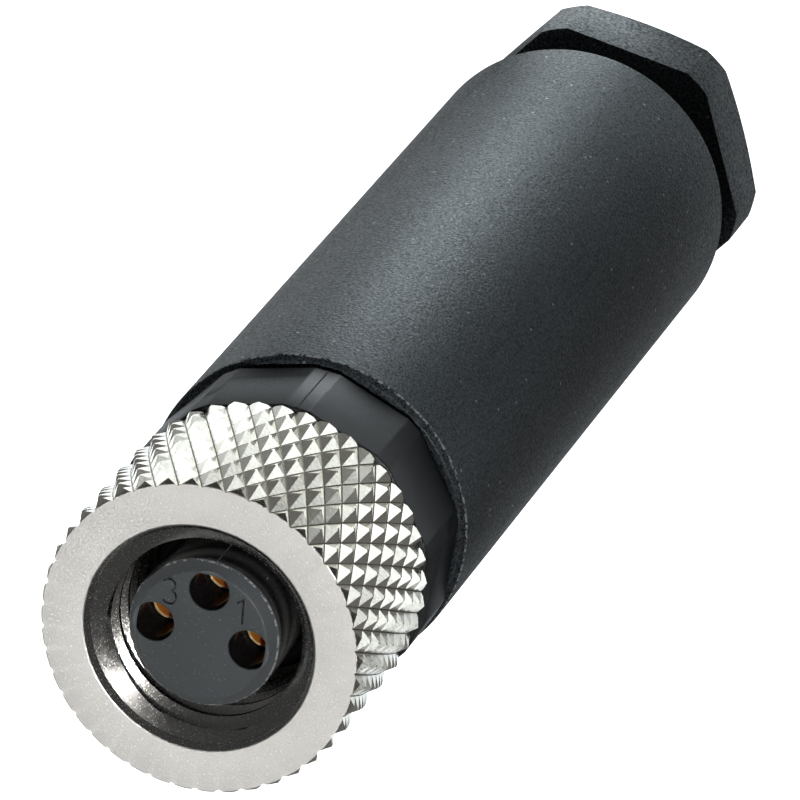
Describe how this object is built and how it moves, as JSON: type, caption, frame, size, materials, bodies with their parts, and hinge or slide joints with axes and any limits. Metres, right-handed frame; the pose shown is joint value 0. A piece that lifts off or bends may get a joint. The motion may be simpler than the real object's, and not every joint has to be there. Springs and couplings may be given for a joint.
{
  "type": "circular connector",
  "caption": "Straight round cable socket with a knurled metal coupling nut, a moulded contact insert, a grained plastic sleeve and a hexagonal cable gland screw.",
  "frame": {"origin": "centre of the pressing screw's flat end, on the connector's axis", "axes": "+Z along the connector's axis towards the mating face, +X towards contact 1, +Y towards contact 4"},
  "size_m": [0.012, 0.012, 0.0504],
  "materials": {
    "nickel_plate": "satin nickel plate",
    "insert_plastic": "satin moulded",
    "sleeve_plastic": "fine eroded grain",
    "gland_plastic": "coarse eroded grain",
    "clamp_plastic": "satin moulded",
    "seal_rubber": "matt",
    "contact_gold": "gold plate",
    "screw_steel": "zinc plate"
  },
  "bodies": {
    "sleeve_body": {"sleeve": "sleeve_plastic", "cable_seal": "seal_rubber"},
    "carrier_lift": {"carrier_seal": "seal_rubber"},
    "carrier": {"contact_insert": "insert_plastic", "contact_carrier": "insert_plastic", "face_seal": "seal_rubber", "contact_1": "contact_gold", "contact_3": "contact_gold", "contact_4": "contact_gold"},
    "nut": {"coupling_nut": "nickel_plate"},
    "screw_1": {"terminal_screw_1": "screw_steel"},
    "screw_3": {"terminal_screw_3": "screw_steel"},
    "screw_4": {"terminal_screw_4": "screw_steel"},
    "clamp": {"clamp_ring": "clamp_plastic"},
    "gland_screw": {"pressing_screw": "gland_plastic"}
  },
  "joints": [
    {"name": "carrier_rise", "type": "slide", "parent": "sleeve_body", "child": "carrier_lift", "axis": [0, 0, 1], "range_m": [0, 0.0045]},
    {"name": "carrier_turn", "type": "hinge", "parent": "carrier_lift", "child": "carrier", "pos_m": [0, 0, 0.0355], "axis": [0, 0, 1], "range_deg": [0, 1620]},
    {"name": "nut_spin", "type": "hinge", "parent": "carrier", "child": "nut", "pos_m": [0, 0, 0.0466], "axis": [0, 0, 1], "continuous": true},
    {"name": "terminal_1_turn", "type": "hinge", "parent": "carrier", "child": "screw_1", "pos_m": [0.00395, 0, 0.02781], "axis": [1, 0, 0], "range_deg": [0, 360]},
    {"name": "terminal_3_turn", "type": "hinge", "parent": "carrier", "child": "screw_3", "pos_m": [-0.00395, 0, 0.02781], "axis": [-1, 0, 0], "range_deg": [0, 360]},
    {"name": "terminal_4_turn", "type": "hinge", "parent": "carrier", "child": "screw_4", "pos_m": [0, 0.00395, 0.02781], "axis": [0, 1, 0], "range_deg": [0, 360]},
    {"name": "clamp_drop", "type": "slide", "parent": "sleeve_body", "child": "clamp", "axis": [0, 0, -1], "range_m": [0, 0.0055]},
    {"name": "gland_turn", "type": "hinge", "parent": "clamp", "child": "gland_screw", "pos_m": [0, 0, 0.006], "axis": [0, 0, -1], "range_deg": [0, 1980]}
  ],
  "couplings": [
    {"joint": "carrier_turn", "follows": "carrier_rise", "rad_per_m": 6283.2},
    {"joint": "gland_turn", "follows": "clamp_drop", "rad_per_m": 6283.2}
  ]
}
